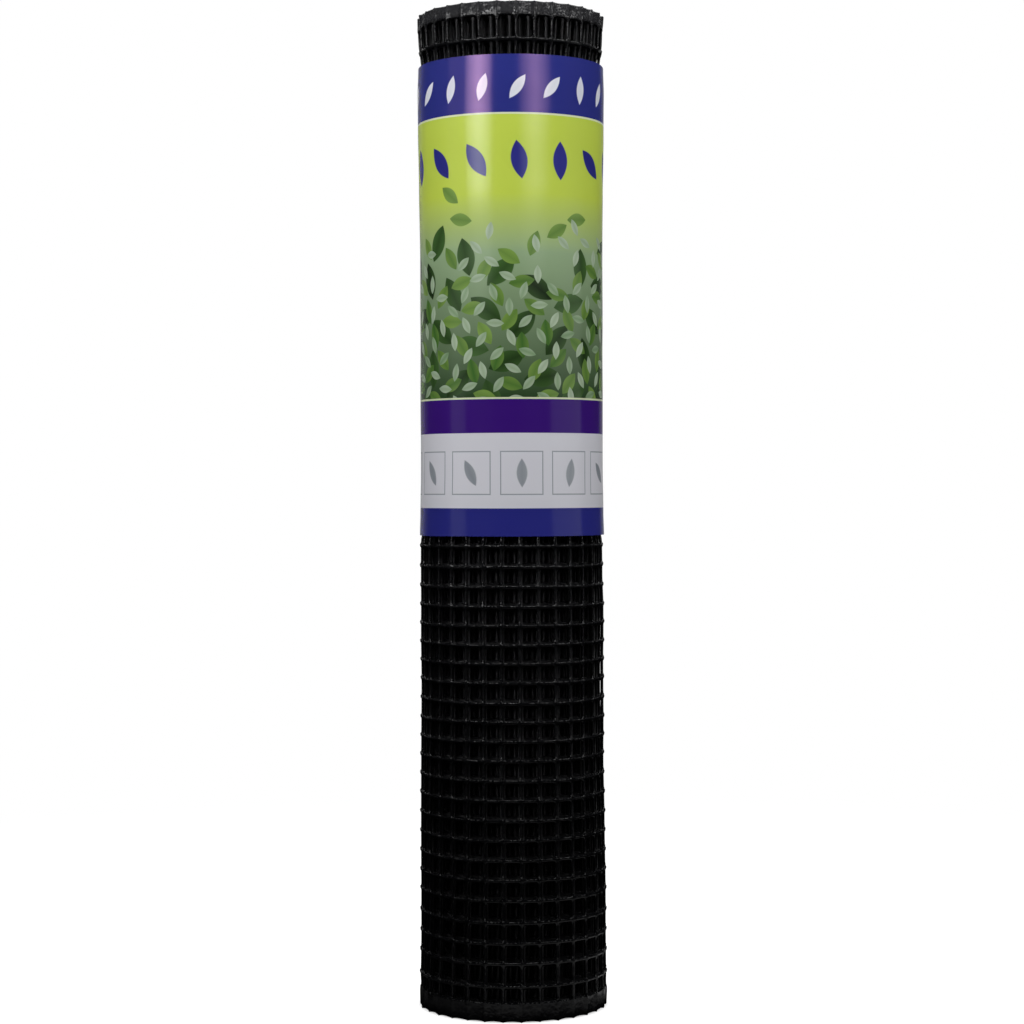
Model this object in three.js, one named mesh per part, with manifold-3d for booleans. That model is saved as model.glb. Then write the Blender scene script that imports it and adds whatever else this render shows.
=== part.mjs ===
// A roll of black plastic hardware netting that stands on end. One long extruded net is wound on itself
// round an open middle, and a printed paper sleeve keeps it from unwinding.
// Millimetres, +Z up, with the origin at the middle of the roll's foot.

import * as THREE from "three";
import { mergeVertices } from "three/addons/utils/BufferGeometryUtils.js";
import Module from "manifold-3d";

// Wound net. Its width stands upright, and each turn here carries two turns of the thinner real net.
const ROLL_HEIGHT = 610;
const ROLL_RADIUS = 56.6;
const NET_THICKNESS = 2.2;
const TURN_GAP = 1.6;
const TURNS = 9.5;
const STATIONS_PER_TURN = 32;
const FREE_END_ANGLE = 25;
const OUTER_TURN_EASE = 3;

// Mesh of the outer turn, at twice the real pitch, cut where the sleeve leaves the net bare.
const SELVEDGE_HEIGHT = 9;
const MESH_COLUMNS = 16;
const MESH_ROWS = 25;
const STRAND_WIDTH = 3.6;

// Paper sleeve, wrapped once round the roll with its glued overlap at the back.
const SLEEVE_BOTTOM = 290;
const SLEEVE_TOP = 578;
const SLEEVE_INNER_RADIUS = 57.1;
const SLEEVE_THICKNESS = 1;
const SLEEVE_STATIONS_PER_TURN = 48;
const SEAM_ANGLE = 120;
const SEAM_OVERLAP_ANGLE = 22.5;
const SEAM_RAMP_ANGLE = 15;
const SEAM_GAP = 0.4;

// Places worked out from these sizes
const TURN_PITCH = NET_THICKNESS + TURN_GAP;
const COLUMN_ANGLE = 360 / MESH_COLUMNS;
const APERTURE_WIDTH = 2 * Math.PI * (ROLL_RADIUS - TURN_PITCH / 2) / MESH_COLUMNS - STRAND_WIDTH;
const MESH_HEIGHT = ROLL_HEIGHT - 2 * SELVEDGE_HEIGHT;
const APERTURE_HEIGHT = (MESH_HEIGHT - (MESH_ROWS - 1) * STRAND_WIDTH) / MESH_ROWS;
const ROW_PITCH = APERTURE_HEIGHT + STRAND_WIDTH;
const CUT_INWARD = NET_THICKNESS + 0.85 * TURN_GAP;
const CUT_OUTWARD = 1;

const wasm = await Module();
wasm.setup();

const radians = THREE.MathUtils.degToRad;

function polar(radius, angle) {
  return new THREE.Vector2(radius * Math.cos(radians(angle)), radius * Math.sin(radians(angle)));
}

// Section of a strip wound round the axis: out along its outer face and back along its inner face
function woundSection(stations, thickness) {
  const outerFace = stations.map(({ radius, angle }) => polar(radius, angle));
  const innerFace = stations.map(({ radius, angle }) => polar(radius - thickness, angle));
  return new THREE.Shape([...outerFace, ...innerFace.reverse()]);
}

function uprightStrip(section, bottom, top) {
  const strip = new THREE.ExtrudeGeometry(section, { depth: top - bottom, bevelEnabled: false });
  return strip.translate(0, 0, bottom);
}

function toSolid(geometry) {
  geometry.deleteAttribute("normal");
  geometry.deleteAttribute("uv");
  const merged = mergeVertices(geometry);
  const vertProperties = new Float32Array(merged.attributes.position.array);
  const triVerts = new Uint32Array(merged.index.array);
  return new wasm.Manifold(new wasm.Mesh({ numProp: 3, vertProperties, triVerts }));
}

function toGeometry(solid) {
  const { vertProperties, triVerts } = solid.getMesh();
  const geometry = new THREE.BufferGeometry();
  geometry.setAttribute("position", new THREE.BufferAttribute(vertProperties, 3));
  geometry.setIndex(new THREE.BufferAttribute(triVerts, 1));
  geometry.computeVertexNormals();
  return geometry;
}

// Outer face of the net after it has wound inwards from its free end by so many degrees.
// The sleeve keeps the outer turn round, so that turn only dips where it slips under its own free end.
function netRadius(wound) {
  const turns = wound / 360;
  const sunk = turns < 1 ? turns ** OUTER_TURN_EASE : turns;
  return ROLL_RADIUS - TURN_PITCH * sunk;
}

function netSection() {
  const count = TURNS * STATIONS_PER_TURN;
  const stations = [];
  for (let i = 0; i <= count; i += 1) {
    const wound = 360 * i / STATIONS_PER_TURN;
    stations.push({ radius: netRadius(wound), angle: FREE_END_ANGLE - wound });
  }
  return woundSection(stations, NET_THICKNESS);
}

// Block that cuts one opening through the outer turn and stops in the gap before the next turn
function apertureCutter(column, row) {
  const endStrandAngle = THREE.MathUtils.radToDeg(STRAND_WIDTH / 2 / ROLL_RADIUS);
  const wound = endStrandAngle + (column + 0.5) * COLUMN_ANGLE;
  const radius = netRadius(wound) + (CUT_OUTWARD - CUT_INWARD) / 2;
  const height = SELVEDGE_HEIGHT + row * ROW_PITCH + APERTURE_HEIGHT / 2;
  const block = new THREE.BoxGeometry(CUT_OUTWARD + CUT_INWARD, APERTURE_WIDTH, APERTURE_HEIGHT);
  block.translate(radius, 0, height);
  return block.rotateZ(radians(FREE_END_ANGLE - wound));
}

function isBareRow(row) {
  const middle = SELVEDGE_HEIGHT + row * ROW_PITCH + APERTURE_HEIGHT / 2;
  return middle < SLEEVE_BOTTOM || middle > SLEEVE_TOP;
}

function netRollGeometry() {
  let roll = toSolid(uprightStrip(netSection(), 0, ROLL_HEIGHT));
  for (let row = 0; row < MESH_ROWS; row += 1) {
    if (!isBareRow(row)) continue;
    for (let column = 0; column < MESH_COLUMNS; column += 1) {
      roll = roll.subtract(toSolid(apertureCutter(column, row)));
    }
  }
  return toGeometry(roll);
}

// The paper lies flat on the roll until it climbs over its own starting edge.
function sleeveGeometry() {
  const stepAngle = 360 / SLEEVE_STATIONS_PER_TURN;
  const climb = SLEEVE_THICKNESS + SEAM_GAP;
  const stations = [];
  for (let wrapped = 0; wrapped <= 360 + SEAM_OVERLAP_ANGLE; wrapped += stepAngle) {
    const climbed = THREE.MathUtils.clamp((wrapped - 360) / SEAM_RAMP_ANGLE + 1, 0, 1);
    const radius = SLEEVE_INNER_RADIUS + SLEEVE_THICKNESS + climb * climbed;
    stations.push({ radius, angle: SEAM_ANGLE + wrapped });
  }
  return uprightStrip(woundSection(stations, SLEEVE_THICKNESS), SLEEVE_BOTTOM, SLEEVE_TOP);
}

function namedMesh(name, geometry, material) {
  const mesh = new THREE.Mesh(geometry, new THREE.MeshStandardMaterial(material));
  mesh.name = name;
  return mesh;
}

const blackPolyethylene = { color: "#141416", roughness: 0.42, metalness: 0 };
const coatedPaper = { color: "#c3d24a", roughness: 0.3, metalness: 0 };

const nettingRoll = new THREE.Group();
nettingRoll.add(namedMesh("net_roll", netRollGeometry(), blackPolyethylene));
nettingRoll.add(namedMesh("label_sleeve", sleeveGeometry(), coatedPaper));

export default nettingRoll;
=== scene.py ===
import math

import bmesh
import bpy
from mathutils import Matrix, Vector, noise


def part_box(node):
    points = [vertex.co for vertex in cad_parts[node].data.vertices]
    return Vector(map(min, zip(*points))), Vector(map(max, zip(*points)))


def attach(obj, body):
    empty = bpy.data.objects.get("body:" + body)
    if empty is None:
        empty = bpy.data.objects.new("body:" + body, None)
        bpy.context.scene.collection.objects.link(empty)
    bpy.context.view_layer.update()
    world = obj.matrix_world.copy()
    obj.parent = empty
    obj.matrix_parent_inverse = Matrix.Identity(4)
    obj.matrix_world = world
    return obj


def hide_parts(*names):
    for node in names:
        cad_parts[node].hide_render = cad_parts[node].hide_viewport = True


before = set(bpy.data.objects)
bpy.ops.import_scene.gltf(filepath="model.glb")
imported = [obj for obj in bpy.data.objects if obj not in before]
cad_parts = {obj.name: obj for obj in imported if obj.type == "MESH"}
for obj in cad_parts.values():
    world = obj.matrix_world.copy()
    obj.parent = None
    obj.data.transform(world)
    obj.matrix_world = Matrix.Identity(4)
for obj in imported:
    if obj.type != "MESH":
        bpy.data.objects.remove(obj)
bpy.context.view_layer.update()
scene = bpy.context.scene
mm = 0.001

netFoot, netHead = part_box("net_roll")
sleeveFoot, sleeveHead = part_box("label_sleeve")
netWidth = netHead.z - netFoot.z          # the net's width stands upright
print("frame loaded, net is", round(netWidth / mm), "mm wide")


def linear(hexColor):  # sRGB hex to the linear colour that shaders work in
    channels = [int(hexColor[i:i + 2], 16) / 255 for i in (1, 3, 5)]
    return [c / 12.92 if c <= 0.04045 else ((c + 0.055) / 1.055) ** 2.4 for c in channels] + [1.0]


def addNode(tree, kind, inputs=None, **settings):  # an input takes a number, a socket or a node
    node = tree.nodes.new(kind)
    for name, value in settings.items():
        setattr(node, name, value)
    for key, value in (inputs or {}).items():
        if isinstance(value, bpy.types.Node):
            value = value.outputs[0]
        if isinstance(value, bpy.types.NodeSocket):
            tree.links.new(value, node.inputs[key])
        else:
            node.inputs[key].default_value = value
    return node


def newMaterial(name):
    material = bpy.data.materials.new(name)
    material.use_nodes = True
    material.node_tree.nodes.clear()
    return material, material.node_tree


def newPiece(name, mesh):
    piece = bpy.data.objects.new(name, mesh)
    scene.collection.objects.link(piece)
    return piece


# Extruded polyethylene, black all through: a dull wax gloss, with faint draw lines and a little dust.
# The gloss breaks up into beads on top of the bars. The turns inside are duller and lighter in colour,
# the lighter colour being painted light for the faint glow in the openings. The film along the head is
# painted a lighter grey as painted light on the head, and towards the foot painted shade thins the dust
# colour while the beads weaken.
plastics = {
    # film is the lighter grey of the head film, painted light on the head
    "outside": {"color": "#070709", "dustAndPaintedLight": "#151517", "film": "#2b2b2d", "smooth": 0.17, "rough": 0.29,
                "gloss": 0.24, "dull": 0.0, "bright": 0.55},
    # the inside's lighter colours are painted light, the faint glow in the openings, over real dust
    "inside": {"color": "#0a0a0c", "dustAndPaintedLight": "#272729", "film": "#2b2b2d", "smooth": 0.36, "rough": 0.48,
               "gloss": 0.24, "dull": 0.2, "bright": 0.32},
}
plasticGrain = {  # in mm
    "dustPatch": 26, "drawLine": 1.9, "lineDepth": 0.25, "lump": 2.4, "lumpDepth": 0.4, "bead": 1.15,
    "paintedLightLow": 8.5, "paintedLightHigh": 6.0,
}
# heights between which the dust colour and the beads grow, with their shares at the two; the dust
# colour's rise is painted shade, darker towards the foot
shadeAndBeadRise = {"low": 60 * mm, "high": 270 * mm, "dustAndShade": (0.25, 1.25), "beads": (0.6, 1.15)}


def extrudedPolyethylene(place):
    look = {**plastics[place], **plasticGrain}
    material, tree = newMaterial("extrudedBlackPolyethylene" + place.capitalize())
    spot = addNode(tree, "ShaderNodeTexCoord").outputs["Object"]
    # draw lines run up the strands, drawn coarser than the real ones so that they show
    stretched = addNode(tree, "ShaderNodeVectorMath", {0: spot, 1: (1, 1, 0.12)}, operation="MULTIPLY")
    grain = {}
    for name, vector, detail in (("dustPatch", spot, 5.0), ("drawLine", stretched, 3.0),
                                 ("lump", spot, 1.0), ("bead", spot, 0.0)):
        grain[name] = addNode(tree, "ShaderNodeTexNoise", {
            "Vector": vector, "Scale": 1 / (look[name] * mm), "Detail": detail})
    height = addNode(tree, "ShaderNodeSeparateXYZ", {0: spot}).outputs[2]
    shadeAndBeadShare = {}
    for share in ("dustAndShade", "beads"):
        least, most = shadeAndBeadRise[share]
        shadeAndBeadShare[share] = addNode(tree, "ShaderNodeMapRange", {
            0: height, 1: shadeAndBeadRise["low"], 2: shadeAndBeadRise["high"], 3: least, 4: most})
    # dust patches, thinned towards the foot by painted shade that darkens the lower net
    dustAndPaintedLight = addNode(tree, "ShaderNodeMath", {0: grain["dustPatch"], 1: shadeAndBeadShare["dustAndShade"]},
                    operation="MULTIPLY")
    body = addNode(tree, "ShaderNodeMix", {0: dustAndPaintedLight, 6: linear(look["color"]), 7: linear(look["dustAndPaintedLight"])},
                   data_type="RGBA")
    # the film along the head is painted a lighter grey, painted light on the head
    onFilm = addNode(tree, "ShaderNodeMapRange", {0: height, 1: netWidth - look["paintedLightLow"] * mm,
                                                  2: netWidth - look["paintedLightHigh"] * mm, 3: 0.0, 4: 1.0})
    color = addNode(tree, "ShaderNodeMix", {0: onFilm, 6: body.outputs[2], 7: linear(look["film"])},
                    data_type="RGBA")
    rough = addNode(tree, "ShaderNodeMapRange", {
        0: grain["dustPatch"], 1: 0.3, 2: 0.7, 3: look["smooth"], 4: look["rough"]})
    lineBump = addNode(tree, "ShaderNodeBump", {
        "Strength": 0.6, "Distance": look["lineDepth"] * mm, "Height": grain["drawLine"]})
    bump = addNode(tree, "ShaderNodeBump", {
        "Strength": 0.8, "Distance": look["lumpDepth"] * mm, "Height": grain["lump"], "Normal": lineBump})
    # beads where the surface faces up a little, which is on top of the bars
    normal = addNode(tree, "ShaderNodeNewGeometry").outputs["Normal"]
    facing = addNode(tree, "ShaderNodeSeparateXYZ", {0: normal}).outputs[2]
    onTop = addNode(tree, "ShaderNodeMapRange", {0: facing, 1: 0.02, 2: 0.1, 3: 0.0, 4: 1.0})
    beaded = addNode(tree, "ShaderNodeMapRange", {
        0: grain["bead"], 1: 0.44, 2: 0.6, 3: look["dull"], 4: look["bright"]})
    shine = addNode(tree, "ShaderNodeMath", {0: beaded, 1: shadeAndBeadShare["beads"]}, operation="MULTIPLY")
    gloss = addNode(tree, "ShaderNodeMix", {0: onTop, 2: look["gloss"], 3: shine})
    shader = addNode(tree, "ShaderNodeBsdfPrincipled", {
        "Base Color": color.outputs[2], "Roughness": rough, "IOR": 1.51, "Specular IOR Level": gloss,
        "Normal": bump})
    addNode(tree, "ShaderNodeOutputMaterial", {"Surface": shader})
    return material


netPlastic = {place: extrudedPolyethylene(place) for place in plastics}

# The net, flat: x runs along its length, y across its width and z out of its face
net = {
    "columns": 413,
    "length": 4572 * mm,
    "rows": 50,
    "headSelvedge": 7.4 * mm,    # film band along each edge of the net, to the crest of its arches
    "footSelvedge": 8.6 * mm,
    "strandWidth": 1.5 * mm,
    "barWidth": 2.0 * mm,
    "barDroop": 0.5 * mm,        # bars hang a little between the strands
    "crestRise": 0.55 * mm,      # the front of a bar is fullest near its upper edge
    "upperRadius": 2.3 * mm,     # webs under the bars, with sharper corners on top of them
    "lowerRadius": 0.9 * mm,
    "headRadius": 2.7 * mm,      # openings end in rounder corners beside the selvedges
    "footRadius": 1.3 * mm,
    "cellWeld": 0.01 * mm,       # points closer than this are one, in a cell and in the whole net
    "netWeld": 0.02 * mm,
}
columnPitch = net["length"] / net["columns"]
rowPitch = (netWidth - net["headSelvedge"] - net["footSelvedge"]) / net["rows"]

# Share of the way from a strand's crest to the opening, and share of the crest's depth there
roundSection = [(0, 1), (0.55, 0.84), (1, 0), (0.55, -0.84), (0, -1)]
plainSection = [(0, 1), (1, 0), (0, -1)]

# Corner of an opening: angle round it, then how far from the joint the crest point across from it
# lies and how deep the crest is there to the front and to the back, in mm
fineCorner = [(0, 3.1, 0.80, 0.90), (20, 1.0, 0.84, 0.90), (45, 0, 1.45, 0.90), (70, 1.0, 0.94, 0.90),
              (90, 2.6, 0.90, 0.90)]
fineArch = [(0, 3.4, 0.80, 0.90), (20, 1.6, 0.80, 0.90), (45, 0, 1.10, 0.90), (60, 0.95, 0.50, 0.60),
            (75, 2.7, 0.45, 0.60), (90, 5.1, 0.45, 0.60)]
softCorner = [(0, 1.8, 0.82, 0.90), (45, 0, 1.40, 0.90), (90, 1.8, 0.90, 0.90)]
softArch = [(0, 3.0, 0.80, 0.90), (45, 0, 1.10, 0.90), (60, 0.95, 0.50, 0.60), (90, 4.6, 0.45, 0.60)]
plainCorner = [(45, 0, 0.85, 0.85)]
plainArch = [(45, 0, 0.85, 0.85), (90, 3.7, 0.60, 0.60)]

# Selvedge film behind each crest point of an arch: how far it stands to the front and to the back,
# and how far its outer edge dips between the ridges, in mm
fineFilm = [(1.00, 0.70, 0.0), (0.08, 0.62, 0.15), (-0.05, 0.72, 0.3), (-0.10, 0.76, 0.35)]
softFilm = [(1.00, 0.70, 0.0), (0.08, 0.62, 0.15), (-0.10, 0.76, 0.35)]
plainFilm = [(0.75, 0.75, 0.0), (0.60, 0.60, 0.1)]


def quarterOfOpening(radius, stations, droop, rise, stout):
    # the upper right corner of one opening, as crest and opening points with their depths
    crestX, barY = columnPitch / 2, rowPitch / 2
    crestY = barY + rise
    centreX = crestX - stout * net["strandWidth"] / 2 - radius
    centreY = barY - stout * net["barWidth"] / 2 - radius
    quarter = []
    for angle, away, front, back in stations:
        onStrand = angle < 45
        turn = math.radians(angle)
        quarter.append({
            "crest": (crestX, crestY - away * mm) if onStrand else (crestX - away * mm, crestY),
            "opening": (centreX + radius * math.cos(turn), centreY + radius * math.sin(turn)),
            "front": front * mm,
            "back": back * mm,
            "droop": droop * (angle / 45 if onStrand else 1),
        })
    return quarter


def mirrored(quarter, signX, signY):
    turned = []
    for point in quarter:
        crest = (signX * point["crest"][0], signY * point["crest"][1])
        opening = (signX * point["opening"][0], signY * point["opening"][1])
        turned.append({**point, "crest": crest, "opening": opening})
    return turned if signX == signY else turned[::-1]


def addOpening(bm, upper, lower, section, centreY=0.0):
    ring = mirrored(upper, 1, 1) + mirrored(upper, -1, 1) + mirrored(lower, -1, -1) + mirrored(lower, 1, -1)
    loops = []
    for way, depthShare in section:
        loop = []
        for point in ring:
            crest, opening = point["crest"], point["opening"]
            x = crest[0] + (opening[0] - crest[0]) * way
            y = crest[1] + (opening[1] - crest[1]) * way
            y -= point["droop"] * (1 - (2 * x / columnPitch) ** 2)
            depth = point["front"] if depthShare > 0 else point["back"]
            loop.append(bm.verts.new((x, y + centreY, depth * depthShare)))
        loops.append(loop)
    count = len(ring)
    for outer, inner in zip(loops, loops[1:]):
        for i in range(count):
            j = (i + 1) % count
            bm.faces.new((outer[i], outer[j], inner[j], inner[i]))


def addSelvedge(bm, arch, film, band):
    # from the arched lip of the last openings up to the net's edge, with the strands as ridges
    right = [(point["crest"][0], point["front"], point["back"], front * mm, back * mm, dip * mm)
             for point, (front, back, dip) in zip([p for p in arch if p["crest"][1] == rowPitch / 2], film)]
    across = right + [(-column[0], *column[1:]) for column in reversed(right)]
    # height, share of the way from the lip to the film, and share of the thickness
    levels = [(-band, 0, 1), (-0.75 * band, 1, 1), (-0.08 * band, 1, 1), (0, 1, 0.5)]
    if film is plainFilm:
        levels = [levels[0], levels[-1]]
    sides = []
    for side in (1, -1):
        rows = []
        for y, filmness, thickness in levels:
            row = []
            for x, lipFront, lipBack, filmFront, filmBack, dip in across:
                front = lipFront + (filmFront - lipFront) * filmness
                back = lipBack + (filmBack - lipBack) * filmness
                middle, half = (front - back) / 2, (front + back) / 2
                row.append(bm.verts.new((x, y - dip * (1 + y / band), middle + side * half * thickness)))
            rows.append(row)
        sides.append(rows)
        for low, high in zip(rows, rows[1:]):
            for i in range(len(across) - 1):
                quad = (low[i], high[i], high[i + 1], low[i + 1])
                bm.faces.new(quad if side == 1 else quad[::-1])
    front, back = sides[0][-1], sides[1][-1]
    for i in range(len(across) - 1):
        bm.faces.new((front[i], back[i], back[i + 1], front[i + 1]))


def cellObject(name, bm):
    bmesh.ops.remove_doubles(bm, verts=bm.verts, dist=net["cellWeld"])
    mesh = bpy.data.meshes.new(name)
    bm.to_mesh(mesh)
    bm.free()
    return newPiece(name, mesh)


def netCells(name, corner, arch, film, section, stout=1.0):
    # a cell for the middle of the net, one for its head and one for its foot, which is set upside down
    rounded = 0 if len(corner) == 1 else 1
    droop, rise = net["barDroop"] * rounded, net["crestRise"] * rounded
    upper = quarterOfOpening(net["upperRadius"] * rounded, corner, droop, rise, stout)
    lower = quarterOfOpening(net["lowerRadius"] * rounded, corner, droop, -rise, stout)
    turnedUpper = quarterOfOpening(net["upperRadius"] * rounded, corner, -droop, rise, stout)
    middle = bmesh.new()
    addOpening(middle, upper, lower, section)
    cells = [cellObject(name + "Cell", middle)]
    for end, inner, radius, band in (("Head", lower, net["headRadius"], net["headSelvedge"]),
                                     ("Foot", turnedUpper, net["footRadius"], net["footSelvedge"])):
        arched = quarterOfOpening(radius * rounded, arch, 0, 0, stout)
        bm = bmesh.new()
        addOpening(bm, arched, inner, section, -band - rowPitch / 2)
        addSelvedge(bm, arched, film, band)
        cells.append(cellObject(name + end + "Cell", bm))
    return cells


# How the flat net is wound, from its free end at the back inwards
winding = {
    "radius": 56.45 * mm,        # middle of the net's thickness at the free end
    "turnPitch": 1.97 * mm,
    "freeEndAngle": 28.5,
    "endLiftLength": 95 * mm,
    "strandWander": 1.6 * mm,
    "barWander": 1.3 * mm,
    "turnWander": 0.5 * mm,
    "filmWander": 2.6 * mm,
    "meshWave": 9 * mm,          # size of the waves in which strands and bars wander
    "turnWave": 16 * mm,
    "filmWave": 5 * mm,
    "edgeStill": 4 * mm,         # bars keep still this close to the net's edges
    "edgeFree": 20 * mm,         # and wander fully this far from them
    "seed": 3.0,
    # height above the foot, with how far the roll stands out, the net is stretched upwards, the roll sits
    # to one side and the free end springs off the roll there, all in mm
    "standsOut": [(0, 1.1), (12, 1.0), (40, 0.7), (65, 0.6), (110, 0.3), (160, -0.2), (195, -0.5),
                  (240, -0.3), (281, -0.4), (291, -1.7), (300, -2.0), (566, -2.0), (577, -1.9), (584, -1.2),
                  (592, -0.3), (599, 0.5), (610, 0.7)],
    "stretch": [(0, 0.0), (10, 2.4), (20, 0.7), (34, 2.6), (48, 2.7), (70, 4.6), (150, 4.5), (180, 3.5),
                (205, 3.3), (225, 2.4), (260, 1.6), (285, 2.2), (450, 1.0), (560, 0.0), (586, -3.4),
                (602, -0.2), (610, 0.0)],
    "shift": [(0, -0.6), (60, -0.3), (110, -0.6), (160, -0.85), (560, -0.85), (590, -0.5), (610, -0.45)],
    "lengthen": [(0, 0.0), (288, 0.0), (574, 14.7), (610, 14.7)],  # mm in each metre of the net's length
    "endLift": [(0, 0.0), (140, 0.0), (165, 0.45), (188, 0.85), (240, 0.85), (254, 0.5), (268, 0.0),
                (578, 0.0), (610, 0.2)],
}
# the curves above run between plus and minus this much
curveReach = {"standsOut": 2 * mm, "stretch": 6 * mm, "shift": 2 * mm, "lengthen": 20 * mm,
              "endLift": 2 * mm}
windingInputs = {
    "NodeSocketObject": ["Cell", "Head Cell", "Foot Cell"],
    "NodeSocketMaterial": ["Material"],
    "NodeSocketInt": ["First Column", "Columns", "Rows"],
    "NodeSocketFloat": ["Column Pitch", "Row Pitch", "Net Width", "Foot Selvedge", "Radius", "Turn Pitch",
                        "Free End Angle", "End Lift Length", "Strand Wander", "Bar Wander", "Turn Wander",
                        "Film Wander", "Bar Lift", "Seed"],
}


def heightCurve(tree, height, name):
    # a curve over the net's width, from rows of height and value in mm, which returns metres
    rows, reach = winding[name], curveReach[name]
    share = addNode(tree, "ShaderNodeMath", {0: height, 1: netWidth}, operation="DIVIDE")
    curve = addNode(tree, "ShaderNodeFloatCurve", {"Value": share})
    points = curve.mapping.curves[0].points
    while len(points) < len(rows):
        points.new(0.5, 0.5)
    for point, (up, value) in zip(points, rows):
        point.location = (up * mm / netWidth, 0.5 + value * mm / (2 * reach))
        point.handle_type = "AUTO_CLAMPED"
    curve.mapping.extend = "HORIZONTAL"
    curve.mapping.update()
    centred = addNode(tree, "ShaderNodeMath", {0: curve, 1: 0.5}, operation="SUBTRACT")
    return addNode(tree, "ShaderNodeMath", {0: centred, 1: 2 * reach}, operation="MULTIPLY")


def wander(tree, flat, alongShare, upShare, amount, seed, size):
    # soft noise on the flat net, the same on its two faces
    x = addNode(tree, "ShaderNodeMath", {0: flat[0], 1: alongShare}, operation="MULTIPLY")
    y = addNode(tree, "ShaderNodeMath", {0: flat[1], 1: upShare}, operation="MULTIPLY")
    spot = addNode(tree, "ShaderNodeCombineXYZ", {0: x, 1: y})
    soft = addNode(tree, "ShaderNodeTexNoise", {
        "Vector": spot, "W": seed, "Scale": 1 / size, "Detail": 0.0}, noise_dimensions="4D")
    centred = addNode(tree, "ShaderNodeMath", {0: soft, 1: 0.5}, operation="SUBTRACT")
    return addNode(tree, "ShaderNodeMath", {0: centred, 1: amount}, operation="MULTIPLY")


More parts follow.
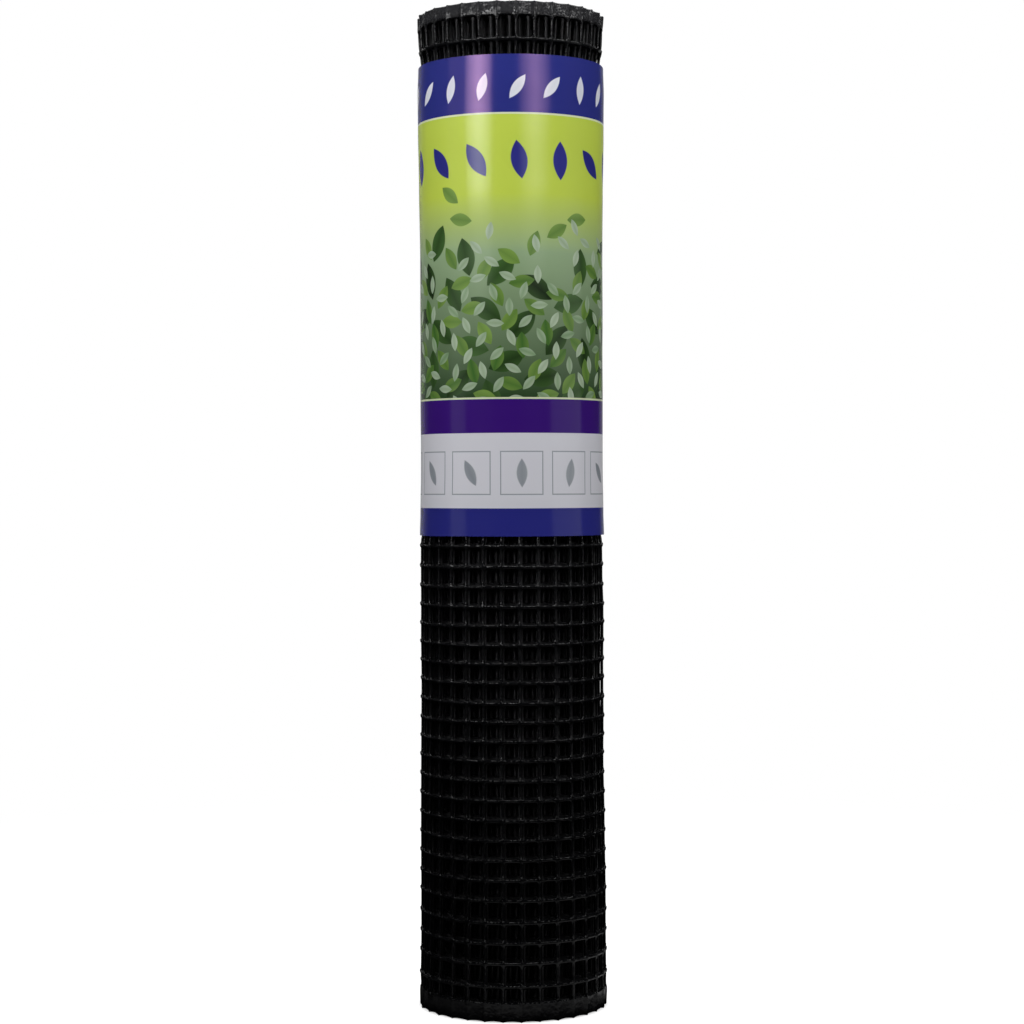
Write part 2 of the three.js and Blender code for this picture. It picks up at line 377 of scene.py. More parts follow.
def windingTree():
    tree = bpy.data.node_groups.new("windNet", "GeometryNodeTree")
    tree.interface.new_socket("Geometry", in_out="OUTPUT", socket_type="NodeSocketGeometry")
    for kind, names in windingInputs.items():
        for name in names:
            tree.interface.new_socket(name, in_out="INPUT", socket_type=kind)
    given = addNode(tree, "NodeGroupInput").outputs

    # cells on a grid, with an end cell at each end of every column
    startX = addNode(tree, "ShaderNodeMath", {0: given["First Column"], 1: given["Column Pitch"]},
                     operation="MULTIPLY")
    half = addNode(tree, "ShaderNodeMath", {0: given["Column Pitch"], 1: 0.5}, operation="MULTIPLY")
    firstX = addNode(tree, "ShaderNodeMath", {0: startX, 1: half}, operation="ADD")
    gaps = addNode(tree, "ShaderNodeMath", {0: given["Columns"], 1: 1}, operation="SUBTRACT")
    spanX = addNode(tree, "ShaderNodeMath", {0: gaps, 1: given["Column Pitch"]}, operation="MULTIPLY")
    halfSpan = addNode(tree, "ShaderNodeMath", {0: spanX, 1: 0.5}, operation="MULTIPLY")
    middleX = addNode(tree, "ShaderNodeMath", {0: firstX, 1: halfSpan}, operation="ADD")
    middleRows = addNode(tree, "ShaderNodeMath", {0: given["Rows"], 1: 2}, operation="SUBTRACT")
    rowGaps = addNode(tree, "ShaderNodeMath", {0: given["Rows"], 1: 3}, operation="SUBTRACT")
    spanY = addNode(tree, "ShaderNodeMath", {0: rowGaps, 1: given["Row Pitch"]}, operation="MULTIPLY")
    halfRows = addNode(tree, "ShaderNodeMath", {0: given["Rows"], 1: 0.5}, operation="MULTIPLY")
    middleY = addNode(tree, "ShaderNodeMath", {
        0: halfRows, 1: given["Row Pitch"], 2: given["Foot Selvedge"]}, operation="MULTIPLY_ADD")
    grid = addNode(tree, "GeometryNodeMeshGrid", {
        "Size X": spanX, "Size Y": spanY, "Vertices X": given["Columns"], "Vertices Y": middleRows})
    gridPlace = addNode(tree, "ShaderNodeCombineXYZ", {0: middleX, 1: middleY})
    placed = addNode(tree, "GeometryNodeTransform", {"Geometry": grid, "Translation": gridPlace})
    cell = addNode(tree, "GeometryNodeObjectInfo", {"Object": given["Cell"], "As Instance": True})
    cells = addNode(tree, "GeometryNodeInstanceOnPoints", {
        "Points": placed, "Instance": cell.outputs["Geometry"]})
    strips = [cells]
    step = addNode(tree, "ShaderNodeCombineXYZ", {0: given["Column Pitch"]})
    for end, place, turn in (("Head Cell", given["Net Width"], 0.0), ("Foot Cell", 0.0, math.pi)):
        endCell = addNode(tree, "GeometryNodeObjectInfo", {"Object": given[end], "As Instance": True})
        start = addNode(tree, "ShaderNodeCombineXYZ", {0: firstX, 1: place})
        line = addNode(tree, "GeometryNodeMeshLine", {"Count": given["Columns"], "Start Location": start,
                                                      "Offset": step})
        strips.append(addNode(tree, "GeometryNodeInstanceOnPoints", {
            "Points": line, "Instance": endCell.outputs["Geometry"], "Rotation": (0, 0, turn)}))
    joined = addNode(tree, "GeometryNodeJoinGeometry")
    for strip in reversed(strips):
        tree.links.new(strip.outputs[0], joined.inputs[0])
    realized = addNode(tree, "GeometryNodeRealizeInstances", {"Geometry": joined})
    welded = addNode(tree, "GeometryNodeMergeByDistance", {
        "Geometry": realized, "Distance": net["netWeld"]})

    # unevenness of the flat net
    flat = addNode(tree, "ShaderNodeSeparateXYZ", {0: addNode(tree, "GeometryNodeInputPosition")}).outputs
    strandShift = wander(tree, flat, 0.3, 0.1, given["Strand Wander"], given["Seed"], winding["meshWave"])
    barShift = wander(tree, flat, 0.14, 1.0, given["Bar Wander"], given["Seed"], winding["meshWave"])
    turnShift = wander(tree, flat, 1.0, 0.5, given["Turn Wander"], given["Seed"], winding["turnWave"])
    filmWave = wander(tree, flat, 1.0, 0.6, given["Film Wander"], given["Seed"], winding["filmWave"])
    still, free = winding["edgeStill"], winding["edgeFree"]
    fromFoot = addNode(tree, "ShaderNodeMapRange", {0: flat[1], 1: still, 2: free, 3: 0.0, 4: 1.0})
    headStart = addNode(tree, "ShaderNodeMath", {0: given["Net Width"], 1: free}, operation="SUBTRACT")
    headEnd = addNode(tree, "ShaderNodeMath", {0: given["Net Width"], 1: still}, operation="SUBTRACT")
    fromHead = addNode(tree, "ShaderNodeMapRange", {0: flat[1], 1: headStart, 2: headEnd, 3: 1.0, 4: 0.0})
    between = addNode(tree, "ShaderNodeMath", {0: fromFoot, 1: fromHead}, operation="MULTIPLY")
    lifted = addNode(tree, "ShaderNodeMath", {0: barShift, 1: given["Bar Lift"]}, operation="ADD")
    barMove = addNode(tree, "ShaderNodeMath", {0: lifted, 1: between}, operation="MULTIPLY")
    onFilm = addNode(tree, "ShaderNodeMath", {0: 1.0, 1: between}, operation="SUBTRACT")
    filmShift = addNode(tree, "ShaderNodeMath", {0: filmWave, 1: onFilm}, operation="MULTIPLY")
    stretch = heightCurve(tree, flat[1], "stretch")
    moved = addNode(tree, "ShaderNodeMath", {0: barMove, 1: stretch}, operation="ADD")
    height = addNode(tree, "ShaderNodeMath", {0: flat[1], 1: moved}, operation="ADD")

    # the spiral: its radius after so much length, and how far round it has gone by then
    lengthen = heightCurve(tree, flat[1], "lengthen")
    longer = addNode(tree, "ShaderNodeMath", {0: flat[0], 1: lengthen, 2: flat[0]},
                     operation="MULTIPLY_ADD")
    along = addNode(tree, "ShaderNodeMath", {0: longer, 1: strandShift}, operation="ADD")
    perLength = addNode(tree, "ShaderNodeMath", {0: given["Turn Pitch"], 1: math.pi}, operation="DIVIDE")
    wound = addNode(tree, "ShaderNodeMath", {0: along, 1: perLength}, operation="MULTIPLY")
    square = addNode(tree, "ShaderNodeMath", {0: given["Radius"], 1: 2.0}, operation="POWER")
    left = addNode(tree, "ShaderNodeMath", {0: square, 1: wound}, operation="SUBTRACT")
    radius = addNode(tree, "ShaderNodeMath", {0: left}, operation="SQRT")
    sunk = addNode(tree, "ShaderNodeMath", {0: given["Radius"], 1: radius}, operation="SUBTRACT")
    perTurn = addNode(tree, "ShaderNodeMath", {0: 2 * math.pi, 1: given["Turn Pitch"]}, operation="DIVIDE")
    turned = addNode(tree, "ShaderNodeMath", {0: sunk, 1: perTurn}, operation="MULTIPLY")
    angle = addNode(tree, "ShaderNodeMath", {0: given["Free End Angle"], 1: turned}, operation="SUBTRACT")

    # the free end springs off where no sleeve holds it, and the sleeve draws the roll in
    nearEnd = addNode(tree, "ShaderNodeMapRange", {
        0: flat[0], 1: 0.0, 2: given["End Lift Length"], 3: 1.0, 4: 0.0}, interpolation_type="SMOOTHSTEP")
    endLift = heightCurve(tree, flat[1], "endLift")
    lift = addNode(tree, "ShaderNodeMath", {0: endLift, 1: nearEnd}, operation="MULTIPLY")
    standsOut = heightCurve(tree, flat[1], "standsOut")
    nearness = addNode(tree, "ShaderNodeMath", {0: radius, 1: given["Radius"]}, operation="DIVIDE")
    drawn = addNode(tree, "ShaderNodeMath", {0: standsOut, 1: nearness}, operation="MULTIPLY")
    reach = flat[2]
    for part in (radius, lift, drawn, turnShift, filmShift):
        reach = addNode(tree, "ShaderNodeMath", {0: reach, 1: part}, operation="ADD")
    cosine = addNode(tree, "ShaderNodeMath", {0: angle}, operation="COSINE")
    sine = addNode(tree, "ShaderNodeMath", {0: angle}, operation="SINE")
    shift = heightCurve(tree, flat[1], "shift")
    x = addNode(tree, "ShaderNodeMath", {0: reach, 1: cosine, 2: shift}, operation="MULTIPLY_ADD")
    y = addNode(tree, "ShaderNodeMath", {0: reach, 1: sine}, operation="MULTIPLY")
    place = addNode(tree, "ShaderNodeCombineXYZ", {0: x, 1: y, 2: height})
    rolled = addNode(tree, "GeometryNodeSetPosition", {"Geometry": welded, "Position": place})
    smooth = addNode(tree, "GeometryNodeSetShadeSmooth", {"Geometry": rolled})
    finished = addNode(tree, "GeometryNodeSetMaterial", {"Geometry": smooth, "Material": given["Material"]})
    addNode(tree, "NodeGroupOutput", {"Geometry": finished})
    return tree


def closeCutEdges(mesh):
    # each end of a length of net is cut down the middle of a strand, which leaves one long open loop
    ridge = 0.45 * mm
    bm = bmesh.new()
    bm.from_mesh(mesh)
    loose = {edge for edge in bm.edges if edge.is_boundary}
    while loose:
        edge = loose.pop()
        chain = list(edge.verts)
        while True:
            onward = next((e for e in chain[-1].link_edges if e in loose), None)
            if onward is None:
                break
            loose.remove(onward)
            chain.append(onward.other_vert(chain[-1]))
        chain.pop()
        lowest = sorted(range(len(chain)), key=lambda i: chain[i].co.z)[:2]
        first = max(lowest) if max(lowest) - min(lowest) == 1 else min(lowest)
        chain = chain[first:] + chain[:first]
        # the cut is closed with a blunt ridge that points away from the net
        start = chain[0]
        inward = next(e.other_vert(start) for e in start.link_edges if not e.is_boundary).co - start.co
        ridgeLine = []
        for front, back in zip(chain[:len(chain) // 2], reversed(chain)):
            middle = (front.co + back.co) / 2
            outward = Vector((-middle.y, middle.x, 0)).normalized()
            if outward.dot(inward) > 0:
                outward.negate()
            ridgeLine.append(bm.verts.new(middle + outward * ridge))
        half = len(chain) // 2
        walls = [(chain[0], ridgeLine[0], chain[-1]), (chain[half], ridgeLine[-1], chain[half - 1])]
        for i, (low, high) in enumerate(zip(ridgeLine, ridgeLine[1:])):
            walls += [(chain[i], chain[i + 1], high, low), (low, high, chain[-2 - i], chain[-1 - i])]
        for corners in walls:
            wall = bm.faces.new(corners)
            wall.smooth = True
            wall.material_index = start.link_faces[0].material_index
        for front, back in zip(chain, chain[1:] + chain[:1]):
            bm.edges.get((front, back)).smooth = False
    bmesh.ops.recalc_face_normals(bm, faces=bm.faces)
    bm.to_mesh(mesh)
    bm.free()


def windLength(tree, name, cells, firstColumn, columns, place, unevenness, barLift):
    piece = newPiece(name, bpy.data.meshes.new(name))
    wind = piece.modifiers.new("wind", "NODES")
    wind.node_group = tree
    values = {
        "Cell": cells[0], "Head Cell": cells[1], "Foot Cell": cells[2], "Material": netPlastic[place],
        "First Column": firstColumn, "Columns": columns, "Rows": net["rows"],
        "Column Pitch": columnPitch, "Row Pitch": rowPitch, "Net Width": netWidth,
        "Foot Selvedge": net["footSelvedge"], "Radius": winding["radius"],
        "Turn Pitch": winding["turnPitch"], "Free End Angle": math.radians(winding["freeEndAngle"]),
        "End Lift Length": winding["endLiftLength"], "Strand Wander": unevenness * winding["strandWander"],
        "Bar Wander": unevenness * winding["barWander"], "Turn Wander": winding["turnWander"],
        "Film Wander": winding["filmWander"], "Bar Lift": barLift * mm, "Seed": winding["seed"],
    }
    for item in tree.interface.items_tree:
        if item.in_out == "INPUT":
            wind[item.identifier] = values[item.name]
    piece.update_tag()
    mesh = bpy.data.meshes.new_from_object(piece.evaluated_get(bpy.context.evaluated_depsgraph_get()))
    piece.modifiers.clear()
    piece.data = mesh
    closeCutEdges(mesh)
    mesh.name = name
    print(name, "has", columns, "columns and", sum(len(p.vertices) - 2 for p in mesh.polygons), "triangles")
    return piece


# Lengths of the one net, from the free end inwards, with their columns, how fine their cells are, their
# place, how uneven they lie and how far up their bars sit in mm. Turns that only show through the outer
# ones have four-sided strands, and stout ones let no daylight through.
netLengths = [
    ("netOuterFront", 20, "fine", "outside", 1, 0.0),
    ("netOuterBack", 12, "fine", "outside", 1, 0.0),
    ("netSecondTurn", 31, "soft", "inside", 1, -0.2),
    ("netThirdTurn", 30, "plain", "inside", 1, -0.4),
    ("netMiddleTurns", 160, "stout", "inside", 1, 0.0),
    ("netInnerTurns", 160, "stout", "inside", 5, 0.0),
]
cells = {
    "fine": netCells("fine", fineCorner, fineArch, fineFilm, roundSection),
    "soft": netCells("soft", softCorner, softArch, softFilm, roundSection),
    "plain": netCells("plain", plainCorner, plainArch, plainFilm, plainSection),
    "stout": netCells("stout", plainCorner, plainArch, plainFilm, plainSection, stout=2.0),
}
windNet = windingTree()
netPieces = []
firstColumn = 0
for name, columns, fineness, place, unevenness, barLift in netLengths:
    piece = windLength(windNet, name, cells[fineness], firstColumn, columns, place, unevenness, barLift)
    netPieces.append((piece, columns * columnPitch))
    firstColumn += columns
for group in cells.values():
    for cell in group:
        bpy.data.objects.remove(cell)

# Printed sleeve, wrapped once round the roll with its tail glued over its start
sleeve = {
    "paper": 0.25 * mm,
    # height above the sleeve's foot and radius of the printed face, in mm
    "radius": [(0, 57.0), (14, 56.6), (40, 56.3), (170, 56.4), (212, 56.9), (250, 57.5), (272, 57.7),
               (288, 57.2)],
    "girthRadius": 56.4 * mm,    # from which the length of the paper is worked out
    "seamAngle": 120,
    "overlap": 22,
    "climbAngle": 14,
    "seamGap": 0.12 * mm,
    "tailLift": 0.35 * mm,
    "tailGlued": 0.55,           # share of the overlap that lies flat
    "stepAngle": 2.0,
    "rowStep": 4 * mm,
    "dent": 0.2 * mm,
    "dentSize": 34 * mm,
    "edgeWave": 0.35 * mm,
    "edgeWaveSize": 60 * mm,
    "waveRadius": 56.5 * mm,     # dents and waves are read off at this radius
    "netEndRidge": 0.5 * mm,     # the net's free end shows through the paper
    "ridgeRise": 40,             # degrees in which the ridge rises and falls
    "ridgeFall": 7,
    "sharpAngle": 40,
}
sleeveHeight = sleeveHead.z - sleeveFoot.z
sleeveLength = sleeve["girthRadius"] * math.radians(360 + sleeve["overlap"])
frontLength = sleeve["girthRadius"] * math.radians(270 - sleeve["seamAngle"])  # from the seam to the front


def smoothStep(value, low, high):
    share = min(max((value - low) / (high - low), 0), 1)
    return share * share * (3 - 2 * share)


def sleeveRadius(up):
    rows = sleeve["radius"]
    for (low, start), (high, end) in zip(rows, rows[1:]):
        if up <= high * mm:
            return (start + (end - start) * smoothStep(up, low * mm, high * mm)) * mm
    return rows[-1][1] * mm


def sleevePoint(wrapped, up):
    angle = sleeve["seamAngle"] + wrapped
    turn = math.radians(angle)
    across = Vector((math.cos(turn), math.sin(turn), 0))
    spot = across * sleeve["waveRadius"] + Vector((0, 0, up))
    climb = smoothStep(wrapped, 360 - sleeve["climbAngle"], 360) * (sleeve["paper"] + sleeve["seamGap"])
    looseFrom = 360 + sleeve["tailGlued"] * sleeve["overlap"]
    lift = smoothStep(wrapped, looseFrom, 360 + sleeve["overlap"]) * sleeve["tailLift"]
    fromEnd = angle - 360 - winding["freeEndAngle"]
    ridge = smoothStep(fromEnd, -sleeve["ridgeRise"], 0) - smoothStep(fromEnd, 0, sleeve["ridgeFall"])
    ridge *= sleeve["netEndRidge"]
    dent = noise.noise(spot / sleeve["dentSize"]) * sleeve["dent"]
    edge = abs(up / sleeveHeight - 0.5) * 2
    wave = noise.noise(spot / sleeve["edgeWaveSize"]) * sleeve["edgeWave"] * edge ** 4
    point = across * (sleeveRadius(up) + climb + lift + ridge + dent)
    point.z = sleeveFoot.z + up + wave
    return point


def wrapSleeve():
    bm = bmesh.new()
    printMap = bm.loops.layers.uv.new("print")
    wraps = round((360 + sleeve["overlap"]) / sleeve["stepAngle"])
    rows = round(sleeveHeight / sleeve["rowStep"])
    grid = [[bm.verts.new(sleevePoint(i * sleeve["stepAngle"], j / rows * sleeveHeight))
             for j in range(rows + 1)] for i in range(wraps + 1)]
    for i in range(wraps):
        for j in range(rows):
            corners = [(i, j), (i + 1, j), (i + 1, j + 1), (i, j + 1)]
            face = bm.faces.new([grid[a][b] for a, b in corners])
            face.smooth = True
            for loop, (a, b) in zip(face.loops, corners):
                loop[printMap].uv = (a / wraps, b / rows)
    mesh = bpy.data.meshes.new("printedSleeve")
    bm.to_mesh(mesh)
    bm.free()
    piece = newPiece("printedSleeve", mesh)
    thickness = piece.modifiers.new("paper", "SOLIDIFY")
    thickness.thickness = sleeve["paper"]
    thickness.offset = -1
    solid = bpy.data.meshes.new_from_object(piece.evaluated_get(bpy.context.evaluated_depsgraph_get()))
    piece.modifiers.clear()
    piece.data = solid
    solid.set_sharp_from_angle(angle=math.radians(sleeve["sharpAngle"]))
    print("printedSleeve is", round(sleeveLength / mm), "mm long and", round(sleeveHeight / mm), "mm tall")
    return piece


# Print of the sleeve, a plain design of leaves and bands without lettering
printBands = [  # lowest edge in mm above the sleeve's foot, and colour
    (0, "#2c2f89"), (16.5, "#e6e6ee"), (60.8, "#3c167d"), (82, "#e2ebc4"), (83.2, "#c8dc54"),
    (252, "#e2ebc4"), (253, "#2e3587"),
]
panel = {"low": 83.2, "mistyFrom": 175, "fadeFrom": 170, "high": 205, "deep": "#2e4829", "misty": "#9ab48b"}
leafOffset = 0.31  # share of a cell by which leaves and frames stand off the middle of the front
# edges, height where leaves begin to thin out and leaf cell in mm, turns in radians, shares of the cell
leafRows = [
    {"low": 83.2, "high": 196, "thin": 150, "cell": 24, "turn": 0.4, "lean": 0, "swing": 6.2, "long": 0.50,
     "slim": 0.26, "dark": "#16280f", "light": "#4a6e38"},
    {"low": 83.2, "high": 210, "thin": 140, "cell": 17, "turn": 1.1, "lean": 0, "swing": 6.2, "long": 0.48,
     "slim": 0.24, "dark": "#3f6a2c", "light": "#86a850"},
    {"low": 83.2, "high": 200, "thin": 130, "cell": 13, "turn": 2.3, "lean": 0, "swing": 6.2, "long": 0.44,
     "slim": 0.19, "dark": "#76966a", "light": "#bfcfb6"},
    {"low": 212, "high": 238, "thin": 237, "cell": 26, "turn": 0, "lean": 1.1, "swing": 0.9, "long": 0.46,
     "slim": 0.20, "dark": "#2b2c80", "light": "#34358f"},
    {"low": 258, "high": 279, "thin": 278, "cell": 21, "turn": 0, "lean": 1.9, "swing": 0.7, "long": 0.42,
     "slim": 0.15, "dark": "#dfe2ee", "light": "#eef0f6"},
    {"low": 22, "high": 54, "thin": 53, "cell": 32, "turn": 0, "lean": 1.2, "swing": 1.0, "long": 0.28,
     "slim": 0.11, "dark": "#8d939b", "light": "#a9aeb5"},
]
frames = {"low": 22, "high": 54, "cell": 32, "outer": 0.40, "line": 0.022, "color": "#a4aab2"}


def printLeaves(tree, flat, up, under, row):
    # one leaf in each square of a grid, each at its own angle and shade, fewer above the thinning height
    cell = 1 / row["cell"]
    spun = addNode(tree, "ShaderNodeMapping", {
        "Vector": flat, "Location": (leafOffset, -row["low"] * cell, 0), "Rotation": (0, 0, row["turn"]),
        "Scale": (cell, cell, 1)})
    square = addNode(tree, "ShaderNodeVectorMath", {0: spun}, operation="FLOOR")
    inside = addNode(tree, "ShaderNodeVectorMath", {0: spun}, operation="FRACTION")
    centred = addNode(tree, "ShaderNodeVectorMath", {0: inside, 1: (0.5, 0.5, 0)}, operation="SUBTRACT")
    chance = addNode(tree, "ShaderNodeTexWhiteNoise", {"Vector": square},
                     noise_dimensions="2D").outputs["Value"]
    angle = addNode(tree, "ShaderNodeMath", {0: chance, 1: row["swing"], 2: row["lean"] - row["swing"] / 2},
                    operation="MULTIPLY_ADD")
    turned = addNode(tree, "ShaderNodeVectorRotate", {"Vector": centred, "Angle": angle},
                     rotation_type="Z_AXIS")
    leaf = addNode(tree, "ShaderNodeSeparateXYZ", {0: turned}).outputs
    alongShare = addNode(tree, "ShaderNodeMath", {0: leaf[0], 1: row["long"]}, operation="DIVIDE")
    bulge = addNode(tree, "ShaderNodeMath", {0: alongShare, 1: alongShare}, operation="MULTIPLY")
    taper = addNode(tree, "ShaderNodeMath", {0: 1.0, 1: bulge}, operation="SUBTRACT")
    halfWidth = addNode(tree, "ShaderNodeMath", {0: taper, 1: row["slim"]}, operation="MULTIPLY")
    off = addNode(tree, "ShaderNodeMath", {0: leaf[1]}, operation="ABSOLUTE")
    depth = addNode(tree, "ShaderNodeMath", {0: halfWidth, 1: off}, operation="SUBTRACT")
    mask = addNode(tree, "ShaderNodeMapRange", {0: depth, 1: 0.0, 2: 0.02, 3: 0.0, 4: 1.0})
    low = addNode(tree, "ShaderNodeMath", {0: up, 1: row["low"]}, operation="GREATER_THAN")
    # a leaf is kept or left out by the height of its square, so that none is cut through
    toCentre = (0.5 - leafOffset, 0.5 + row["low"] * cell, 0)
    centre = addNode(tree, "ShaderNodeVectorMath", {0: square, 1: toCentre}, operation="ADD")
    upright = addNode(tree, "ShaderNodeVectorRotate", {"Vector": centre, "Angle": -row["turn"]},
                      rotation_type="Z_AXIS")
    centreUp = addNode(tree, "ShaderNodeSeparateXYZ", {0: upright}).outputs[1]
    thinning = addNode(tree, "ShaderNodeMapRange", {
        0: centreUp, 1: row["thin"] * cell, 2: row["high"] * cell, 3: 0.0, 4: 1.0})
    kept = addNode(tree, "ShaderNodeMath", {0: chance, 1: thinning}, operation="GREATER_THAN")
    shown = mask
    for limit in (low, kept):
        shown = addNode(tree, "ShaderNodeMath", {0: shown, 1: limit}, operation="MULTIPLY")
    # darker along the midrib and lighter at the rim
    rib = addNode(tree, "ShaderNodeMapRange", {0: off, 1: 0.0, 2: row["slim"], 3: 0.0, 4: 0.4})
    tone = addNode(tree, "ShaderNodeMath", {0: chance, 1: 0.6, 2: rib}, operation="MULTIPLY_ADD")
    color = addNode(tree, "ShaderNodeMix", {0: tone, 6: linear(row["dark"]), 7: linear(row["light"])},
                    data_type="RGBA")
    return addNode(tree, "ShaderNodeMix", {0: shown, 6: under, 7: color.outputs[2]},
                   data_type="RGBA").outputs[2]


def printFrames(tree, flat, up, under):
    cell = 1 / frames["cell"]
    spun = addNode(tree, "ShaderNodeMapping", {
        "Vector": flat, "Location": (leafOffset, -frames["low"] * cell, 0), "Scale": (cell, cell, 1)})
    inside = addNode(tree, "ShaderNodeVectorMath", {0: spun}, operation="FRACTION")
    centred = addNode(tree, "ShaderNodeVectorMath", {0: inside, 1: (0.5, 0.5, 0)}, operation="SUBTRACT")
    folded = addNode(tree, "ShaderNodeVectorMath", {0: centred}, operation="ABSOLUTE")
    away = addNode(tree, "ShaderNodeSeparateXYZ", {0: folded}).outputs
    reach = addNode(tree, "ShaderNodeMath", {0: away[0], 1: away[1]}, operation="MAXIMUM")
    fromLine = addNode(tree, "ShaderNodeMath", {0: reach, 1: frames["outer"], 2: frames["line"] / 2},
                       operation="COMPARE")
    low = addNode(tree, "ShaderNodeMath", {0: up, 1: frames["low"]}, operation="GREATER_THAN")
    high = addNode(tree, "ShaderNodeMath", {0: up, 1: frames["high"]}, operation="LESS_THAN")
    shown = fromLine
    for limit in (low, high):
        shown = addNode(tree, "ShaderNodeMath", {0: shown, 1: limit}, operation="MULTIPLY")
    return addNode(tree, "ShaderNodeMix", {0: shown, 6: under, 7: linear(frames["color"])},
                   data_type="RGBA").outputs[2]


# Coated paper, printed in flat inks: a hard even gloss over the colour
def coatedPaper():
    # the pinkish tint for the blue band is a painted colour for warm light in its reflections
    look = {"roughness": 0.15, "gloss": "#c0c0c0", "warmReflectionTint": "#f2bbe2", "fibre": 0.9}  # fibre in mm
    material, tree = newMaterial("coatedPrintedPaper")
    uv = addNode(tree, "ShaderNodeUVMap", uv_map="print")
    # millimetres on the sheet, with zero at the middle of the front
    flat = addNode(tree, "ShaderNodeMapping", {"Vector": uv, "Location": (-frontLength / mm, 0, 0),
                                               "Scale": (sleeveLength / mm, sleeveHeight / mm, 1)})
    up = addNode(tree, "ShaderNodeSeparateXYZ", {0: flat}).outputs[1]
    share = addNode(tree, "ShaderNodeMath", {0: up, 1: sleeveHeight / mm}, operation="DIVIDE")
    bands = addNode(tree, "ShaderNodeValToRGB", {"Fac": share})
    bands.color_ramp.interpolation = "CONSTANT"
    stops = bands.color_ramp.elements
    while len(stops) < len(printBands):
        stops.new(1.0)
    for stop, (low, color) in zip(stops, printBands):
        stop.position = low * mm / sleeveHeight
        stop.color = linear(color)
    # the leaf panel is deep green below and misty above
    rise = addNode(tree, "ShaderNodeMapRange", {
        0: up, 1: panel["low"], 2: panel["mistyFrom"], 3: 0.0, 4: 1.0})
    ground = addNode(tree, "ShaderNodeMix", {0: rise, 6: linear(panel["deep"]), 7: linear(panel["misty"])},
                     data_type="RGBA")
    above = addNode(tree, "ShaderNodeMath", {0: up, 1: panel["low"]}, operation="GREATER_THAN")
    fade = addNode(tree, "ShaderNodeMapRange", {
        0: up, 1: panel["fadeFrom"], 2: panel["high"], 3: 1.0, 4: 0.0})
    inPanel = addNode(tree, "ShaderNodeMath", {0: above, 1: fade}, operation="MULTIPLY")
    ink = addNode(tree, "ShaderNodeMix", {0: inPanel, 6: bands.outputs["Color"], 7: ground.outputs[2]},
                  data_type="RGBA").outputs[2]
    for row in leafRows:
        ink = printLeaves(tree, flat, up, ink, row)
    ink = printFrames(tree, flat, up, ink)
    fibres = addNode(tree, "ShaderNodeTexNoise", {
        "Vector": flat, "Scale": 1 / look["fibre"], "Detail": 3.0})
    bump = addNode(tree, "ShaderNodeBump", {"Strength": 0.06, "Distance": 0.03 * mm, "Height": fibres})
    # the top blue band's gloss is stronger and tinted pink, a painted reflection colour for the warm light
    # it reflects
    onBlue = addNode(tree, "ShaderNodeMath", {0: up, 1: printBands[-1][0]}, operation="GREATER_THAN")
    warmReflectionTint = addNode(tree, "ShaderNodeMix", {
        0: onBlue, 6: linear(look["gloss"]), 7: linear(look["warmReflectionTint"])}, data_type="RGBA")
    shader = addNode(tree, "ShaderNodeBsdfPrincipled", {
        "Base Color": ink, "Roughness": look["roughness"], "IOR": 1.5, "Specular Tint": warmReflectionTint.outputs[2],
        "Normal": bump})
    addNode(tree, "ShaderNodeOutputMaterial", {"Surface": shader})
    return material


printedSleeve = wrapSleeve()
printedSleeve.data.materials.append(coatedPaper())

# The net is one sheet 4.57 m long, shown in six lengths. Its strands cover about two fifths of it.
for piece, length in netPieces:
    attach(piece, "root")
    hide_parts("net_roll")
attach(printedSleeve, "root")
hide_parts("label_sleeve")
print("pieces ride on the roll")

# Pale floor that fades into a white surround, so that no horizon shows
stage = {
    "radius": 6.0, "segments": 96, "fadeStart": 0.25, "fadeEnd": 1.0, "color": "#8a8a8a",
    "glow": 0.97, "glowStart": 0.05, "glowFull": 0.06,
    "bounce": 0.58, "bounceFull": 0.09, "bounceEnd": 0.2, "bounceLeft": -0.1, "bounceRight": -0.01,
}


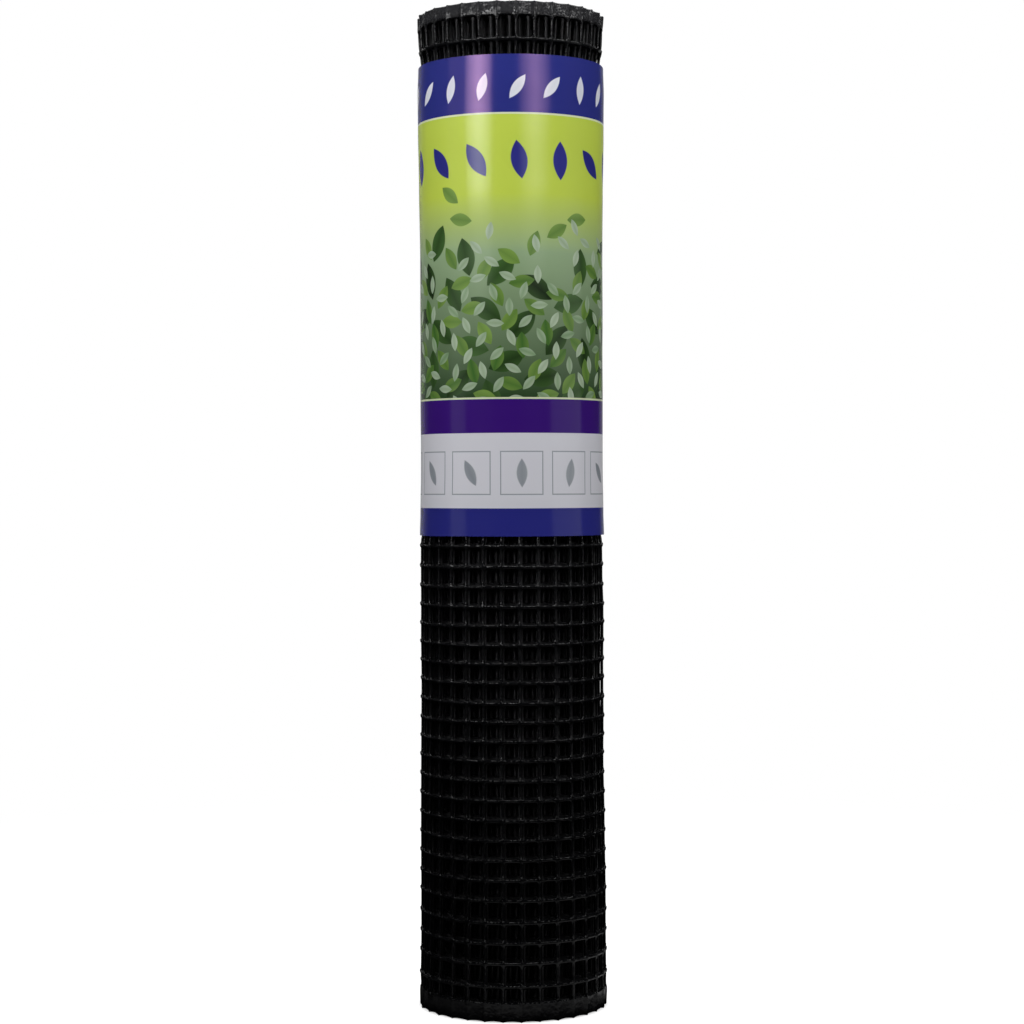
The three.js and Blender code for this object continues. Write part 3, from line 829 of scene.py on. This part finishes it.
def paleFloor():
    mesh = bpy.data.meshes.new("floor")
    bm = bmesh.new()
    bmesh.ops.create_circle(bm, cap_ends=True, segments=stage["segments"], radius=stage["radius"])
    bm.to_mesh(mesh)
    bm.free()
    floor = newPiece("floor", mesh)
    material, tree = newMaterial("paleStudioFloor")
    spot = addNode(tree, "ShaderNodeTexCoord").outputs["Object"]
    distance = addNode(tree, "ShaderNodeVectorMath", {0: spot}, operation="LENGTH").outputs["Value"]
    fade = addNode(tree, "ShaderNodeMapRange", {
        0: distance, 1: stage["fadeStart"], 2: stage["fadeEnd"], 3: 0.0, 4: 1.0},
        interpolation_type="SMOOTHSTEP")
    paint = addNode(tree, "ShaderNodeBsdfDiffuse", {"Color": linear(stage["color"])})
    # no glow inside the roll, where no light reaches the floor
    outside = addNode(tree, "ShaderNodeMapRange", {
        0: distance, 1: stage["glowStart"], 2: stage["glowFull"], 3: 0.0, 4: stage["glow"]})
    glow = addNode(tree, "ShaderNodeEmission", {"Color": (1, 1, 1, 1), "Strength": outside})
    lit = addNode(tree, "ShaderNodeAddShader", {0: paint, 1: glow})
    white = addNode(tree, "ShaderNodeEmission", {"Color": (1, 1, 1, 1), "Strength": 1.0})
    blended = addNode(tree, "ShaderNodeMixShader", {0: fade, 1: lit, 2: white})
    # only the floor near the roll, in front of it and to its right, shows as a reflection in it
    close = addNode(tree, "ShaderNodeMapRange", {
        0: distance, 1: stage["glowFull"], 2: stage["bounceFull"], 3: 0.0, 4: stage["bounce"]},
        interpolation_type="SMOOTHSTEP")
    far = addNode(tree, "ShaderNodeMapRange", {
        0: distance, 1: stage["bounceFull"], 2: stage["bounceEnd"], 3: 1.0, 4: 0.0},
        interpolation_type="SMOOTHSTEP")
    ring = addNode(tree, "ShaderNodeMath", {0: close, 1: far}, operation="MULTIPLY")
    across = addNode(tree, "ShaderNodeSeparateXYZ", {0: spot}).outputs[0]
    toRight = addNode(tree, "ShaderNodeMapRange", {
        0: across, 1: stage["bounceLeft"], 2: stage["bounceRight"], 3: 0.0, 4: 1.0},
        interpolation_type="SMOOTHSTEP")
    near = addNode(tree, "ShaderNodeMath", {0: ring, 1: toRight}, operation="MULTIPLY")
    bounced = addNode(tree, "ShaderNodeEmission", {"Color": (1, 1, 1, 1), "Strength": near})
    seen = addNode(tree, "ShaderNodeLightPath").outputs["Is Camera Ray"]
    surface = addNode(tree, "ShaderNodeMixShader", {0: seen, 1: bounced, 2: blended})
    addNode(tree, "ShaderNodeOutputMaterial", {"Surface": surface})
    mesh.materials.append(material)
    floor.visible_diffuse = False


surround = {"sweep": (-0.1, 0.995, 0), "sweepStart": 0.7, "sweepFull": 0.95, "back": 0.25, "front": 0.025}


def whiteSurround():
    world = bpy.data.worlds.new("whiteSurround")
    scene.world = world
    world.use_nodes = True
    tree = world.node_tree
    tree.nodes.clear()
    path = addNode(tree, "ShaderNodeLightPath").outputs["Is Camera Ray"]
    seen = addNode(tree, "ShaderNodeBackground", {"Color": (1, 1, 1, 1), "Strength": 1.0})
    # the white sweep lights the roll from behind, and the room in front is dark
    direction = addNode(tree, "ShaderNodeTexCoord").outputs["Generated"]
    behind = addNode(tree, "ShaderNodeVectorMath", {0: direction, 1: surround["sweep"]},
                     operation="DOT_PRODUCT").outputs["Value"]
    level = addNode(tree, "ShaderNodeMapRange", {
        0: behind, 1: surround["sweepStart"], 2: surround["sweepFull"], 3: surround["front"],
        4: surround["back"]}, interpolation_type="SMOOTHSTEP")
    around = addNode(tree, "ShaderNodeBackground", {"Color": (1, 1, 1, 1), "Strength": level})
    blended = addNode(tree, "ShaderNodeMixShader", {0: path, 1: around, 2: seen})
    addNode(tree, "ShaderNodeOutputWorld", {"Surface": blended})


# Softboxes: azimuth from the camera's side, distance, height, width and tallness in metres, spread of their
# grid in degrees, and watts
softboxes = {
    "leftSoftbox": (-40, 1.6, 0.92, 1.0, 0.56, 44, 1.13),
    "rightSoftbox": (30, 1.6, 0.92, 1.2, 0.56, 44, 0.645),
    "leftPanel": (-70, 1.5, 0.55, 0.6, 1.0, 180, 1.1),
    "rightPanel": (73, 1.5, 0.35, 1.3, 0.6, 180, 1.5),
    "rightHighPanel": (85, 1.5, 1.6, 1.0, 0.8, 180, 9.0),
    "leftFill": (-85, 1.5, 0.95, 1.0, 0.6, 60, 0.35),
    "rightFill": (85, 1.5, 0.95, 1.0, 0.6, 60, 0.2),
    "ceilingSoftbox": (0, 0.05, 1.6, 2.2, 2.2, 180, 15),
    "overheadSoftbox": (0, 0.3, 1.6, 0.5, 0.5, 180, 5.0),
    "backSoftbox": (180, 1.6, 1.5, 1.8, 0.8, 180, 16),
}


def addSoftbox(name, azimuth, distance, height, width, tallness, spread, power):
    light = bpy.data.lights.new(name, "AREA")
    light.shape = "RECTANGLE"
    light.size = width
    light.size_y = tallness
    light.spread = math.radians(spread)
    light.energy = power
    lamp = bpy.data.objects.new(name, light)
    scene.collection.objects.link(lamp)
    lamp.visible_glossy = "Fill" not in name  # a fill gives no streak on the gloss
    turn = math.radians(azimuth)
    lamp.location = (math.sin(turn) * distance, -math.cos(turn) * distance, height)
    aim = Vector((0, 0, netWidth)) - lamp.location
    lamp.rotation_euler = aim.to_track_quat("-Z", "Y").to_euler()


# Level camera at about half the roll's height, as in the photograph, in metres, mm, pixels and degrees
view = {
    "distance": 1.495, "height": 0.3187, "lens": 84.8, "sensor": 36.0, "frame": 1024,
    "rowOfHorizon": 488.4, "columnOfAxis": 511.9, "roll": 0.19,
}


def addCamera():
    camera = bpy.data.objects.new("camera", bpy.data.cameras.new("camera"))
    scene.collection.objects.link(camera)
    camera.data.lens = view["lens"]
    camera.data.sensor_width = view["sensor"]
    camera.data.shift_x = 0.5 - view["columnOfAxis"] / view["frame"]
    camera.data.shift_y = view["rowOfHorizon"] / view["frame"] - 0.5
    camera.location = (0, -view["distance"], view["height"])
    camera.rotation_euler = (math.radians(90), math.radians(view["roll"]), 0)
    scene.camera = camera


paleFloor()
whiteSurround()
for name, sizes in softboxes.items():
    addSoftbox(name, *sizes)
addCamera()
scene.view_settings.view_transform = "Standard"
print("stage, lights and camera are set")
